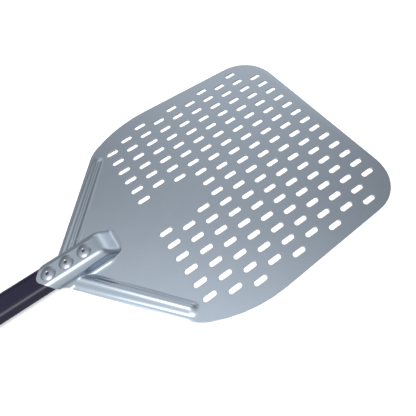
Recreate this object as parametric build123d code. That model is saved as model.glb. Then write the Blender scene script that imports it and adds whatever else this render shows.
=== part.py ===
from build123d import *
import os
from math import cos, radians, sin, tan

# A 12 inch perforated pizza peel: a pressed aluminium head riveted over a flat-oval
# handle tube, with a moulded grip on the tube's far end.
# Millimetres, +Z up, +Y towards the leading edge. The origin is the centre of the
# square baking area, on the plane that the head's underside rests on.

# ---------------------------------------------------------------- head, in plan
sheet = 1.5                 # thickness of the pressed sheet
head_width = 305.0          # across the widest point
leading_edge_y = 152.5
widest_y = -42.0
side_draft = 2.0            # degrees that each side opens, going aft
front_corner_radius = 50.0
shoulder_radius = 177.0     # from the side into the shoulder
shoulder_turn = 25.7        # degrees turned where the two shoulder arcs meet
waist_radius = 52.0         # from the shoulder into the straight taper
shoulder_straight = 0.1     # between the two shoulder arcs
taper_turn = 49.3           # degrees between the taper and the handle's line
neck_radius = 8.0
tongue_side_length = 6.5    # straight side behind the neck's corner
tongue_tip_length = 20.0    # from the neck's corner to where the two end cuts would meet
tongue_corner_radius = 5.0
tongue_tip_radius = 7.0
bevel_length = 7.0          # thinned strip along the leading edge
edge_thickness = 0.8

# ---------------------------------------------------------------- slots
slot_length = 16.5
slot_width = 6.0
column_pitch = 17.6
row_pitch = 26.1
front_row_margin = 22.8     # leading edge to the centres of the first row
# For each row, from the leading edge aft: innermost and outermost slot, in columns.
slot_rows = ((0, 6), (0.5, 7.5), (0, 7), (0.5, 7.5), (0, 7), (0.5, 7.5), (0, 7),
             (1.5, 7.5), (2, 7), (1.5, 6.5))

# ---------------------------------------------------------------- handle tube
tube_width = 30.0
tube_height = 15.0
tube_wall = 1.5
tube_rise = 2.5             # the tube's underside above the head's
tube_setback = 5.0          # the tube's front end behind the top of the ramp
tube_length = 303.0

# ---------------------------------------------------------------- hump over the tube
hump_side_gap = 0.3         # beside the tube; the tube's flat top touches the sheet
hump_foot_radius = 10.0     # from the hump's side down into the plate
hump_length = 55.0          # from the neck's corner to the top of the ramp
ramp_length = 14.5
ramp_top_radius = 5.0
ramp_foot_radius = 8.0
tongue_overhang = 0.5       # the tongue's edge beyond the hump's widest point

# ---------------------------------------------------------------- stiffening ribs
rib_inset = 12.7            # crest line in from the tapered edge
rib_angle = 33.0            # slope of the flanks
rib_crest_radius = 4.5
rib_crest_half_width = 2.7
rib_neck_height = 4.6
rib_shoulder_height = 3.2
rib_setback = 14.0          # end of the full-height part, short of the waist's corner
rib_run_out = 11.0          # the slope at the shoulder end
rib_neck_end_x = 8.0        # the crest line starts here, under the hump

# ---------------------------------------------------------------- head rivets
rivet_diameter = 4.8
rivet_flange_diameter = 16.0
rivet_flange_edge = 0.7
rivet_dome_height = 2.3
rivet_dimple_diameter = 4.4
rivet_dimple_depth = 0.5
rear_rivet_setback = 5.0    # behind the neck's corner
rivet_pitch = 20.8
rivet_names = ("rear", "middle", "front")

# ---------------------------------------------------------------- end grip and its rivet
grip_length = 140.0
grip_side_wall = 2.8        # beside the socket; above and below, the tube's rise sets it
grip_solid_end = 28.0       # beyond the socket
grip_socket_gap = 0.2       # all round the tube
grip_end_clearance = 0.5    # beyond the tube's end
grip_edge_radius = 3.0
hang_hole_diameter = 12.0
hang_hole_inset = 16.0      # its centre, in from the grip's end
hang_hole_chamfer = 1.0
grip_rivet_diameter = 4.0
grip_rivet_head_diameter = 7.6
grip_rivet_head_angle = 120.0
grip_rivet_sink = 0.3       # head below the grip's underside
grip_rivet_inset = 18.0     # in from the grip's front

# ---------------------------------------------------------------- any blind rivet
rivet_hole_gap = 0.05       # all round the shank
bore_share = 0.56           # mandrel diameter, of the shank's
mandrel_gap = 0.05          # all round the mandrel's stem
bulb_share = 1.45           # diameter of the set blind end, of the shank's
bulb_length_share = 0.8     # its length, of the shank's diameter
mandrel_head_share = 0.92
mandrel_head_length_share = 0.4
mandrel_recess_share = 0.35

# ---------------------------------------------------------------- worked out
half_head = head_width / 2
tube_centre_z = tube_rise + tube_height / 2
hump_arc_radius = tube_height / 2 + sheet
hump_arc_x = (tube_width - tube_height) / 2 + hump_side_gap
hump_half_width = hump_arc_x + hump_arc_radius
tongue_half_width = hump_half_width + tongue_overhang
tube_top_z = tube_centre_z + tube_height / 2
hump_top_z = tube_top_z + sheet
socket_width = tube_width + 2 * grip_socket_gap
socket_height = tube_height + 2 * grip_socket_gap
grip_width = socket_width + 2 * grip_side_wall
grip_height = 2 * tube_centre_z
reach = 4 * head_width      # any cutting block is at least this long


def heading(turn):
    """Unit step going aft along the head's right side, turned inwards by some degrees."""
    return Vector(-sin(radians(turn)), -cos(radians(turn)))


def crossing(point_a, way_a, point_b, way_b):
    """Point where two lines in the plan meet, each given by a point and a direction."""
    gap = point_b - point_a
    across = way_a.X * way_b.Y - way_a.Y * way_b.X
    return point_a + way_a * ((gap.X * way_b.Y - gap.Y * way_b.X) / across)


def round_corners(face, corners):
    """Round each (point, radius) corner of a face."""
    for point, radius in corners:
        nearest = face.vertices().sort_by_distance(point)[0]
        face = fillet(nearest, radius)
    return face


def mirrored(points):
    """Right-hand points, front to back, closed round by their mirror images."""
    return points + [Vector(-p.X, p.Y) for p in reversed(points) if abs(p.X) > 1e-6]


def tangent_length(radius, turn):
    """Distance from a corner to where its fillet starts, for a turn in degrees."""
    return radius * tan(radians(turn) / 2)


# The plan's straight lines; every round stretch is a fillet between two of them.
side_way = heading(-side_draft)
taper_way = heading(taper_turn)
side_touch = (Vector(half_head - shoulder_radius, widest_y)
              + Vector(cos(radians(side_draft)), sin(radians(side_draft))) * shoulder_radius)
front_corner = crossing(side_touch, side_way, Vector(0, leading_edge_y), Vector(1, 0))
shoulder_reach = tangent_length(shoulder_radius, side_draft + shoulder_turn)
waist_reach = tangent_length(waist_radius, taper_turn - shoulder_turn)
arcs_apart = shoulder_reach + shoulder_straight + waist_reach
shoulder_corner = side_touch + side_way * shoulder_reach
waist_corner = shoulder_corner + heading(shoulder_turn) * arcs_apart
neck_corner = crossing(waist_corner, taper_way, Vector(tongue_half_width, 0), Vector(0, 1))
tongue_corner = neck_corner - Vector(0, tongue_side_length)
tongue_tip = Vector(0, neck_corner.Y - tongue_tip_length)

# Places along the handle, which all follow the neck.
ramp_top_y = neck_corner.Y + hump_length
ramp_foot_y = ramp_top_y + ramp_length
rear_rivet_y = neck_corner.Y - rear_rivet_setback
tube_front_y = ramp_top_y - tube_setback
tube_rear_y = tube_front_y - tube_length
grip_rear_y = tube_rear_y - grip_end_clearance - grip_solid_end
grip_front_y = grip_rear_y + grip_length
hang_hole_y = grip_rear_y + hang_hole_inset
grip_rivet_y = grip_front_y - grip_rivet_inset


def head_outline():
    """Face of the head seen from above."""
    right = [front_corner, shoulder_corner, waist_corner, neck_corner, tongue_corner, tongue_tip]
    face = make_face(Polyline(*mirrored(right), close=True))
    radii = (front_corner_radius, shoulder_radius, waist_radius, neck_radius, tongue_corner_radius)
    corners = [(tongue_tip, tongue_tip_radius)]
    for corner, radius in zip(right, radii):
        corners += [(corner, radius), (Vector(-corner.X, corner.Y), radius)]
    return round_corners(face, corners)


def hump_cross_section():
    """Everything under the head's top face, cut across the handle."""
    foot_z = sheet + hump_foot_radius
    spread = hump_arc_radius + hump_foot_radius
    rise = foot_z - tube_centre_z
    foot_x = hump_arc_x + (spread ** 2 - rise ** 2) ** 0.5
    meet = hump_arc_radius / spread
    side = Vector(hump_arc_x + (foot_x - hump_arc_x) * meet, tube_centre_z + rise * meet)
    top = Vector(hump_arc_x, hump_top_z)
    foot = Vector(foot_x, sheet)
    right = [
        Line(Vector(0, hump_top_z), top),
        RadiusArc(top, side, hump_arc_radius),
        RadiusArc(side, foot, -hump_foot_radius),
        Line(foot, Vector(head_width, sheet)),
    ]
    left = [mirror(piece, about=Plane.YZ) for piece in right]
    rim = Polyline(Vector(head_width, sheet), Vector(head_width, -head_width),
                   Vector(-head_width, -head_width), Vector(-head_width, sheet))
    return make_face([e for piece in right + left for e in piece.edges()] + rim.edges())


def ramp_side_section():
    """Everything under the head's top face, cut along the handle; X runs forwards."""
    top = Vector(ramp_top_y, hump_top_z)
    foot = Vector(ramp_foot_y, sheet)
    points = [Vector(-reach, hump_top_z), top, foot, Vector(reach, sheet),
              Vector(reach, -reach), Vector(-reach, -reach)]
    face = make_face(Polyline(*points, close=True))
    return round_corners(face, [(top, ramp_top_radius), (foot, ramp_foot_radius)])


def pressed_ground(inset):
    """Solid under the plate and the hump, with every face moved inwards by inset."""
    across = hump_cross_section()
    along = ramp_side_section()
    if inset:
        across = offset(across, amount=-inset)
        along = offset(along, amount=-inset)
    lengthways = extrude(Plane.XZ * across, reach / 2, both=True)
    crossways = extrude(Plane.YZ * along, reach / 2, both=True)
    return lengthways & crossways


def rib_section(place, height):
    """Cross-section of the right rib, at a distance short of the waist's corner."""
    outward = Vector(-taper_way.Y, taper_way.X)
    centre = waist_corner - outward * rib_inset + taper_way * place
    plane = Plane(origin=centre, x_dir=outward, z_dir=taper_way)
    top = sheet + height
    foot = rib_crest_half_width + top / tan(radians(rib_angle))
    corners = [Vector(-foot, 0), Vector(foot, 0),
               Vector(rib_crest_half_width, top), Vector(-rib_crest_half_width, top)]
    face = make_face(Polyline(*corners, close=True))
    return plane * round_corners(face, [(corner, rib_crest_radius) for corner in corners[2:]])


def right_rib():
    """The pressed bead along the right tapered edge, solid down to the underside."""
    outward_x = -taper_way.Y
    neck_end = (waist_corner.X - rib_inset * outward_x - rib_neck_end_x) / -taper_way.X
    buried = -sheet / 4
    return loft([rib_section(neck_end, rib_neck_height),
                 rib_section(rib_setback, rib_shoulder_height),
                 rib_section(rib_setback - rib_run_out, buried)], ruled=True)


def slot_centres():
    """Centres of the slots, row by row."""
    centres = []
    for row, (inner, outer) in enumerate(slot_rows):
        y = leading_edge_y - front_row_margin - row * row_pitch
        column = inner
        while column <= outer:
            centres += [(side * column * column_pitch, y) for side in ((-1, 1) if column else (1,))]
            column += 1
    return centres


def rivet_ys():
    """Places of the head's rivets along the handle, from the rear."""
    return [rear_rivet_y + place * rivet_pitch for place in range(len(rivet_names))]


def hole(x, y, diameter, low, high):
    """A round cutter standing between two levels."""
    return Pos(x, y, (low + high) / 2) * Cylinder(diameter / 2, high - low)


def leading_bevel():
    """Wedge cut off the top of the sheet along the leading edge."""
    front, back = leading_edge_y + 1, leading_edge_y - bevel_length
    slope = (sheet - edge_thickness) / bevel_length
    face = make_face(Polyline(
        Vector(back, sheet), Vector(front, edge_thickness - slope), Vector(front, 2 * sheet),
        Vector(back, 2 * sheet), close=True))
    return extrude(Plane.YZ * face, head_width, both=True)


def head_plate():
    """The pressed, slotted sheet: plate, hump, tongue and the two ribs."""
    rib = right_rib()
    ribs = rib + mirror(rib, about=Plane.YZ)
    shell = (pressed_ground(0) + ribs) - (pressed_ground(sheet) + Pos(0, 0, -sheet) * ribs)
    blank = shell & extrude(head_outline(), 2 * hump_top_z)
    slot = extrude(SlotOverall(slot_length, slot_width, rotation=90), 2 * sheet, both=True)
    blank -= [Pos(x, y, 0) * slot for x, y in slot_centres()]
    rivet_hole = rivet_diameter + 2 * rivet_hole_gap
    blank -= [hole(0, y, rivet_hole, tube_centre_z, 2 * hump_top_z) for y in rivet_ys()]
    blank -= leading_bevel()
    return blank.solids().sort_by(SortBy.VOLUME)[-1]


def oval_bar(width, height, front_y, length):
    """Flat-oval bar along the handle."""
    section = Plane(origin=(0, front_y, tube_centre_z), x_dir=(1, 0, 0), z_dir=(0, -1, 0))
    return extrude(section * SlotOverall(width, height), length)


def handle_tube():
    """The flat-oval tube, drilled for the head's rivets above and the grip's rivet below."""
    tube = oval_bar(tube_width, tube_height, tube_front_y, tube_length)
    tube -= oval_bar(tube_width - 2 * tube_wall, tube_height - 2 * tube_wall,
                     tube_front_y + 1, tube_length + 2)
    rivet_hole = rivet_diameter + 2 * rivet_hole_gap
    tube -= [hole(0, y, rivet_hole, tube_centre_z, hump_top_z) for y in rivet_ys()]
    tube -= hole(0, grip_rivet_y, grip_rivet_diameter + 2 * rivet_hole_gap, 0, tube_centre_z)
    return tube


def revolved(points):
    """Solid turned about Z from (radius, height) points; the axis closes it."""
    return revolve(Plane.XZ * make_face(Polyline(*[Vector(*p) for p in points], close=True)), Axis.Z)


def rivet_body(diameter, grip, head):
    """A set blind rivet: head above its seat at height 0, shank and bulb below, bored through."""
    radius = diameter / 2
    bulb = radius * bulb_share
    tail = -grip - diameter * bulb_length_share
    shank = revolved([(0, 0), (radius, 0), (radius, -grip), (bulb, -grip),
                      (bulb, (tail - grip) / 2), (radius, tail), (0, tail)])
    bore = radius * bore_share + mandrel_gap
    return (head + shank) - Pos(0, 0, tail) * Cylinder(bore, reach)


def rivet_mandrel(diameter, grip, head_top):
    """The steel pin left in a set blind rivet, broken off below the top of the head."""
    radius = diameter / 2
    stem = radius * bore_share
    knob = radius * mandrel_head_share
    tail = -grip - diameter * bulb_length_share
    end = tail - diameter * mandrel_head_length_share
    top = head_top - diameter * mandrel_recess_share
    return revolved([(0, top), (stem, top), (stem, tail), (knob, tail), (stem, end), (0, end)])


def dome_head():
    """Large low dome with a shallow dimple round the bore."""
    rim = rivet_flange_diameter / 2
    edge = Vector(rim, rivet_flange_edge)
    crown = Vector(0, rivet_dome_height)
    rise = rivet_dome_height - rivet_flange_edge
    dome_radius = (rim ** 2 + rise ** 2) / (2 * rise)
    sides = Polyline(crown, Vector(0, 0), Vector(rim, 0), edge)
    face = make_face(sides.edges() + RadiusArc(edge, crown, -dome_radius).edges())
    dome = revolve(Plane.XZ * face, Axis.Z)
    floor = rivet_dome_height - rivet_dimple_depth
    dimple = Pos(0, 0, floor) * Cylinder(rivet_dimple_diameter / 2, reach,
                                         align=(Align.CENTER, Align.CENTER, Align.MIN))
    return dome - dimple


def head_rivet(y):
    """Body and mandrel of one head rivet, set through the hump and the tube's top wall."""
    seat = Pos(0, y, hump_top_z)
    grip = sheet + tube_wall
    crown = rivet_dome_height - rivet_dimple_depth
    return (seat * rivet_body(rivet_diameter, grip, dome_head()),
            seat * rivet_mandrel(rivet_diameter, grip, crown))


def sunk_head_depth():
    """Depth of the countersunk head's cone."""
    overhang = (grip_rivet_head_diameter - grip_rivet_diameter) / 2
    return overhang / tan(radians(grip_rivet_head_angle / 2))


def sunk_head(margin):
    """Cone of the countersunk head, its flat top at height 0, thickened by margin."""
    wide = grip_rivet_head_diameter / 2 + margin
    narrow = grip_rivet_diameter / 2 + margin
    return revolved([(0, 0), (wide, 0), (narrow, -sunk_head_depth()), (0, -sunk_head_depth())])


def grip_rivet_place():
    """Place of the grip's rivet: head down, in the grip's underside."""
    return Pos(0, grip_rivet_y, grip_rivet_sink) * Rot(180, 0, 0)


def grip_rivet():
    """Body and mandrel of the countersunk rivet that holds the grip on the tube."""
    grip = tube_rise + tube_wall - grip_rivet_sink
    return (grip_rivet_place() * rivet_body(grip_rivet_diameter, grip, sunk_head(0)),
            grip_rivet_place() * rivet_mandrel(grip_rivet_diameter, grip, 0))


def grip_plan():
    """Face of the grip seen from above: straight sides and a round end."""
    half = grip_width / 2
    straight = grip_length - half
    body = Pos(0, grip_front_y - straight / 2) * Rectangle(grip_width, straight)
    return body + Pos(0, grip_rear_y + half) * Circle(half)


def end_grip():
    """The moulded grip: a sleeve over the tube with a solid, holed end."""
    bar = oval_bar(grip_width, grip_height, grip_front_y, grip_length)
    grip = bar & extrude(grip_plan(), grip_height)
    grip = fillet(grip.faces().sort_by(Axis.Y)[-1].edges(), grip_edge_radius)
    socket_length = grip_front_y - tube_rear_y + grip_end_clearance
    grip -= oval_bar(socket_width, socket_height, grip_front_y + 1, socket_length + 1)
    grip -= hole(0, hang_hole_y, hang_hole_diameter, -1, grip_height + 1)
    mouths = grip.edges().filter_by(GeomType.CIRCLE).filter_by(
        lambda e: abs(e.radius - hang_hole_diameter / 2) < 0.01)
    grip = chamfer(mouths, hang_hole_chamfer)
    grip -= hole(0, grip_rivet_y, grip_rivet_diameter + 2 * rivet_hole_gap, -1, tube_centre_z)
    grip -= grip_rivet_place() * sunk_head(rivet_hole_gap)
    grip -= hole(0, grip_rivet_y, grip_rivet_head_diameter + 2 * rivet_hole_gap, -1, grip_rivet_sink)
    return grip


def build_nodes():
    """Every node's solid by name."""
    nodes = {
        "head_plate": head_plate(),
        "handle_tube": handle_tube(),
        "end_grip": end_grip(),
    }
    for name, y in zip(rivet_names, rivet_ys()):
        nodes["rivet_body_" + name], nodes["rivet_mandrel_" + name] = head_rivet(y)
    nodes["grip_rivet_body"], nodes["grip_rivet_mandrel"] = grip_rivet()
    return nodes


os.makedirs("parts", exist_ok=True)
for node_name, solid in build_nodes().items():
    export_step(solid, "parts/" + node_name + ".step")
    print(node_name, len(solid.solids()), round(solid.volume), solid.is_valid)
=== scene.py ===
"""A 12 inch perforated pizza peel: a pressed aluminium head riveted over a flat-oval tube.

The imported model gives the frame, in metres with +Z up and +Y towards the leading edge.
Sizes in the classes below are millimetres; a mesh is turned to metres when it is made.
"""

import logging
import math
from collections.abc import Callable, Sequence
from dataclasses import dataclass, field
from enum import Enum

import bpy
import numpy as np
from mathutils import Matrix, Vector, geometry


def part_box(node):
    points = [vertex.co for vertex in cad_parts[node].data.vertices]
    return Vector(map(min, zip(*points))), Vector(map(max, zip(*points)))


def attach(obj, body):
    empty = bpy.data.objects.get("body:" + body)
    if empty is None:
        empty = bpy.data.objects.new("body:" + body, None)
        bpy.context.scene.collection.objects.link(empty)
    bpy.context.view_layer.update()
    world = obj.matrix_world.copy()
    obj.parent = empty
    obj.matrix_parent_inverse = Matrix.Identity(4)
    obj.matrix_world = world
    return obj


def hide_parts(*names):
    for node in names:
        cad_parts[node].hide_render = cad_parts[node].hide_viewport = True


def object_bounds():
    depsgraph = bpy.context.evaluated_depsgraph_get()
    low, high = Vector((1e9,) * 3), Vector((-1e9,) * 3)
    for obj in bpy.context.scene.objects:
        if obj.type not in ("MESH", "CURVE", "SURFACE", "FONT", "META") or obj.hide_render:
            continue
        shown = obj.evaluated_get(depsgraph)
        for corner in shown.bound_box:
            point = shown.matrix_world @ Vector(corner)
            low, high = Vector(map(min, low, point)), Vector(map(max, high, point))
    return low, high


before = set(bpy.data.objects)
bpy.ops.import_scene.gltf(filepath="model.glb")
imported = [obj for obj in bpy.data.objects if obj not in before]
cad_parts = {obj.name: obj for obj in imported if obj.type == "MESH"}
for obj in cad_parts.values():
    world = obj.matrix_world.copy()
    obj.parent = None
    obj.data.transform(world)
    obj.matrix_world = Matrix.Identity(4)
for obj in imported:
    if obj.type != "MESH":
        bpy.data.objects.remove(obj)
cad_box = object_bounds()

Array = np.ndarray
Surface = Callable[[Array], tuple[Array, Array]]
MM = 0.001
BODY = "root"
log = logging.getLogger("pizza_peel")


# ------------------------------------------------------------------ small sums

def smooth_step(value: Array, low: float, high: float) -> Array:
    """Ease from 0 at low to 1 at high."""
    share = np.clip((value - low) / (high - low), 0.0, 1.0)
    return share * share * (3.0 - 2.0 * share)


def blended_least(a: Array, b: Array, sharpness: float) -> Array:
    """Lesser of two heights, rounded off where they are alike."""
    least, most = np.minimum(a, b), np.maximum(np.maximum(a, b), 1e-9)
    return least * (1.0 + (least / most) ** sharpness) ** (-1.0 / sharpness)


def blended_most(a: Array, b: Array, sharpness: float) -> Array:
    """Greater of two heights, filled in where they are alike."""
    least, most = np.minimum(a, b), np.maximum(np.maximum(a, b), 1e-9)
    return most * (1.0 + (least / most) ** sharpness) ** (1.0 / sharpness)


def heading(turn: float) -> Array:
    """Unit step going aft along the head's right side, turned inwards by some degrees."""
    return np.array((-math.sin(math.radians(turn)), -math.cos(math.radians(turn))))


def crossing(point_a: Array, way_a: Array, point_b: Array, way_b: Array) -> Array:
    """Point where two lines in the plan meet.

    Args:
        point_a: A point of the first line.
        way_a: The first line's direction.
        point_b: A point of the second line.
        way_b: The second line's direction.

    Returns:
        The point that both lines pass through.
    """
    gap = point_b - point_a
    across = way_a[0] * way_b[1] - way_a[1] * way_b[0]
    return point_a + way_a * ((gap[0] * way_b[1] - gap[1] * way_b[0]) / across)


def left_of(way: Array) -> Array:
    """Direction a quarter turn to the left of each direction."""
    return np.stack((-way[..., 1], way[..., 0]), axis=-1)


def in_millimetres(node: str) -> tuple[Array, Array]:
    """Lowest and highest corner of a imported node, in millimetres."""
    low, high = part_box(node)
    return np.array(low) / MM, np.array(high) / MM


# ------------------------------------------------------------------ lines in the plan

@dataclass(frozen=True)
class Corner:
    """A corner of an outline, and the radius that rounds it."""

    place: Array
    radius: float


@dataclass
class Loop:
    """A closed line in the plan, with the directions that lead out of the metal."""

    points: Array
    outward: Array

    def inset(self, distance: Array) -> Array:
        """Points moved into the metal, each by its own distance."""
        return self.points - self.outward * distance[:, None]

    def holds(self, points: Array) -> Array:
        """Tell which points lie inside the closed line.

        Args:
            points: The points asked about.

        Returns:
            True for each point inside.
        """
        inside = np.zeros(len(points), bool)
        ends = np.roll(self.points, -1, axis=0)
        for (x0, y0), (x1, y1) in zip(self.points, ends):
            if y0 == y1:
                continue
            between = (points[:, 1] > min(y0, y1)) & (points[:, 1] <= max(y0, y1))
            cross_x = x0 + (points[:, 1] - y0) * (x1 - x0) / (y1 - y0)
            inside ^= between & (points[:, 0] < cross_x)
        return inside

    def distance(self, points: Array) -> Array:
        """Measure how far points are from the line.

        Args:
            points: The points asked about.

        Returns:
            Each point's distance to the nearest stretch of the line.
        """
        nearest = np.full(len(points), np.inf)
        for start, end in zip(self.points, np.roll(self.points, -1, axis=0)):
            run = end - start
            share = np.clip((points - start) @ run / max(run @ run, 1e-12), 0.0, 1.0)
            gap = points - start - share[:, None] * run
            nearest = np.minimum(nearest, np.hypot(gap[:, 0], gap[:, 1]))
        return nearest


def rounded_loop(corners: Sequence[Corner], arc_step: float, line_step: float) -> Loop:
    """Anticlockwise outline of a sheet, through rounded corners.

    Args:
        corners: The corners in order, each with its radius.
        arc_step: Degrees between the points of an arc, at most.
        line_step: Distance between the points of a straight run, at most.

    Returns:
        The closed line.
    """
    places = [corner.place for corner in corners]
    arcs = []
    for before, corner, after in zip(places[-1:] + places[:-1], corners, places[1:] + places[:1]):
        way_in = (corner.place - before) / np.linalg.norm(corner.place - before)
        way_out = (after - corner.place) / np.linalg.norm(after - corner.place)
        turn = math.atan2(way_in[0] * way_out[1] - way_in[1] * way_out[0], way_in @ way_out)
        side = math.copysign(corner.radius, turn)
        start = corner.place - way_in * corner.radius * math.tan(abs(turn) / 2)
        count = max(2, math.ceil(math.degrees(abs(turn)) / arc_step))
        angles = np.linspace(0.0, turn, count + 1) + math.atan2(way_in[1], way_in[0])
        ways = np.stack((np.cos(angles), np.sin(angles)), axis=-1)
        centre = start + side * left_of(way_in)
        arcs.append((centre - side * left_of(ways), -left_of(ways)))
    points, outward = [], []
    for (here, facing), (following, _) in zip(arcs, arcs[1:] + arcs[:1]):
        run = following[0] - here[-1]
        count = max(1, math.ceil(np.linalg.norm(run) / line_step))
        shares = np.arange(1, count)[:, None] / count
        points += [here, here[-1] + shares * run]
        outward += [facing, np.repeat(facing[-1:], count - 1, axis=0)]
    return Loop(np.concatenate(points), np.concatenate(outward))


def slot_loop(x: float, y: float, length: float, width: float, steps: int) -> Loop:
    """Edge of a round-ended slot that lies along Y; equal length and width make a round hole.

    Args:
        x: Centre, across.
        y: Centre, along.
        length: Overall length.
        width: Overall width.
        steps: Points on each round end.

    Returns:
        The closed line, whose outward side is the slot's middle.
    """
    reach = (length - width) / 2
    shift = 0.0 if reach else math.pi / steps
    angles = np.linspace(0.0, math.pi - shift, steps)
    angles = np.concatenate((angles, angles + math.pi))
    ways = np.stack((np.cos(angles), np.sin(angles)), axis=-1)
    ends = np.where(np.arange(2 * steps) < steps, reach, -reach)
    return Loop(np.array((x, y)) + ways * width / 2 + np.stack((0 * ends, ends), -1), -ways)


# ------------------------------------------------------------------ meshes

class Shading(Enum):
    """How a mesh takes its normals."""

    GIVEN = "given with each vertex"
    BY_ANGLE = "smooth, except over sharp edges"


@dataclass
class Skin:
    """Vertices and faces that grow into one mesh, in millimetres."""

    points: list[Array] = field(default_factory=list)
    normals: list[Array] = field(default_factory=list)
    rims: list[Array] = field(default_factory=list)
    faces: list[tuple[int, ...]] = field(default_factory=list)
    count: int = 0

    def add(self, points: Array, normals: Array | None = None, rim: float = 0.0) -> Array:
        """Add vertices.

        Args:
            points: Their places.
            normals: Their normals, or None where the mesh works them out.
            rim: How far they are on an exposed edge, from 0 to 1.

        Returns:
            Their numbers in the mesh.
        """
        self.points.append(points)
        self.normals.append(np.zeros_like(points) if normals is None else normals)
        self.rims.append(np.full(len(points), rim))
        self.count += len(points)
        return np.arange(self.count - len(points), self.count)

    def strip(self, row: Array, following: Array) -> None:
        """Join two closed rows of vertices by four-sided faces.

        Args:
            row: The first row; the faces are anticlockwise from it to the other.
            following: The second row, of the same length.
        """
        for i in range(len(row)):
            j = (i + 1) % len(row)
            self.faces.append((row[i], row[j], following[j], following[i]))

    def cap(self, row: Array) -> None:
        """Close a row of vertices by one flat face."""
        self.faces.append(tuple(row))

    def make(self, name: str, shading: Shading, sharp_angle: float = 35.0) -> bpy.types.Object:
        """Turn the skin into an object in the scene.

        Args:
            name: The piece's name.
            shading: Where its normals come from.
            sharp_angle: Least angle, in degrees, between faces that meet sharply.

        Returns:
            The new object.
        """
        used = np.unique(np.concatenate([np.array(face) for face in self.faces]))
        numbers = {int(old): new for new, old in enumerate(used)}
        faces = [tuple(numbers[int(i)] for i in face) for face in self.faces]
        points = np.concatenate(self.points)[used]
        normals = np.concatenate(self.normals)[used]
        mesh = bpy.data.meshes.new(name)
        mesh.from_pydata((points * MM).tolist(), [], faces)
        mesh.attributes.new("rim", "FLOAT", "POINT").data.foreach_set(
            "value", np.concatenate(self.rims)[used])
        mesh.shade_smooth()
        if shading is Shading.GIVEN:
            mesh.normals_split_custom_set_from_vertices(normals.tolist())
        else:
            mesh.set_sharp_from_angle(angle=math.radians(sharp_angle))
        piece = bpy.data.objects.new(name, mesh)
        bpy.context.scene.collection.objects.link(piece)
        return piece


@dataclass(frozen=True)
class EdgeRing:
    """One line of vertices near a cut edge.

    It lies at a distance in from the edge and a depth below the face. Its normals tilt
    outwards by some degrees, and its rim value says how far it is on the exposed edge.
    """

    distance: float
    depth: float
    tilt: float
    rim: float


EDGE_RINGS = (EdgeRing(0.7, 0.0, 0.0, 0.0), EdgeRing(0.35, 0.0, 0.0, 0.4),
              EdgeRing(0.1, 0.1, 45.0, 1.0), EdgeRing(0.0, 0.33, 90.0, 1.0))


LEAST_LEAN = 0.25  # a face steeper than this, as its normal's Z, crowds its rings no further


@dataclass
class SheetMesher:
    """Meshes a pressed sheet from its plan: two faces and the softened edges between them."""

    upper: Surface
    lower: Surface

    def _ring(self, skin: Skin, loop: Loop, side: Surface, ring: EdgeRing) -> tuple[Array, Array]:
        """Add one line of vertices beside an edge.

        Args:
            skin: The skin that grows.
            loop: The edge.
            side: The face that the line belongs to.
            ring: Where the line lies.

        Returns:
            The vertices' plan and their numbers.
        """
        lean = np.clip(np.abs(side(loop.points)[1][:, 2]), LEAST_LEAN, 1.0)
        plan = loop.inset(ring.distance * lean)
        points, normals = side(plan)
        out = np.column_stack((loop.outward, np.zeros(len(loop.outward))))
        out -= normals * np.sum(out * normals, axis=1, keepdims=True)
        out /= np.linalg.norm(out, axis=1, keepdims=True)
        tilt = math.radians(ring.tilt)
        tilted = normals * math.cos(tilt) + out * math.sin(tilt)
        return plan, skin.add(points - normals * ring.depth, tilted, ring.rim)

    def _edge(self, skin: Skin, loop: Loop, is_hole: bool) -> tuple[Array, Array, Array]:
        """Add an edge from face to face.

        Args:
            skin: The skin that grows.
            loop: The edge.
            is_hole: Whether the metal lies outside the closed line.

        Returns:
            The plan of its inner rows, and the numbers of the upper one and the lower one.
        """
        rows = [self._ring(skin, loop, self.upper, ring) for ring in EDGE_RINGS]
        rows += [self._ring(skin, loop, self.lower, ring) for ring in reversed(EDGE_RINGS)]
        for (_, row), (_, following) in zip(rows, rows[1:]):
            pair = (row, following) if is_hole else (row[::-1], following[::-1])
            skin.strip(*pair)
        return rows[0][0], rows[0][1], rows[-1][1]

    def mesh(self, outline: Loop, holes: Sequence[Loop], inner: Array) -> Skin:
        """Mesh the whole sheet.

        Args:
            outline: The sheet's edge.
            holes: The edges of its holes.
            inner: Further points of the plan, where the sheet isn't flat.

        Returns:
            The closed skin.
        """
        skin = Skin()
        edges = [self._edge(skin, outline, False)]
        edges += [self._edge(skin, loop, True) for loop in holes]
        owners = np.concatenate([np.full(len(plan), n) for n, (plan, _, _) in enumerate(edges)])
        lines, start = [], 0
        for plan, _, _ in edges:
            size = len(plan)
            lines += [(start + i, start + (i + 1) % size) for i in range(size)]
            start += size
        plan = np.concatenate([edge[0] for edge in edges] + [inner])
        over = np.concatenate([edge[1] for edge in edges] + [skin.add(*self.upper(inner))])
        under = np.concatenate([edge[2] for edge in edges] + [skin.add(*self.lower(inner))])
        owners = np.concatenate((owners, np.full(len(inner), -1)))
        found = geometry.delaunay_2d_cdt([Vector(p) for p in plan], lines, [], 0, 1e-6, True)
        source = [ids[0] for ids in found[3]]
        triangles = np.array([[source[i] for i in face] for face in found[2]])
        sides = owners[triangles]
        same = (sides[:, 0] == sides[:, 1]) & (sides[:, 1] == sides[:, 2])
        rising = (triangles < np.roll(triangles, -1, axis=1)).sum(axis=1) == 2
        outside = same & (sides[:, 0] == 0) & ~rising
        in_hole = same & (sides[:, 0] > 0) & rising
        triangles = triangles[~(outside | in_hole)]
        skin.faces += [tuple(over[i] for i in face) for face in triangles]
        skin.faces += [tuple(under[i] for i in face[::-1]) for face in triangles]
        return skin


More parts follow.
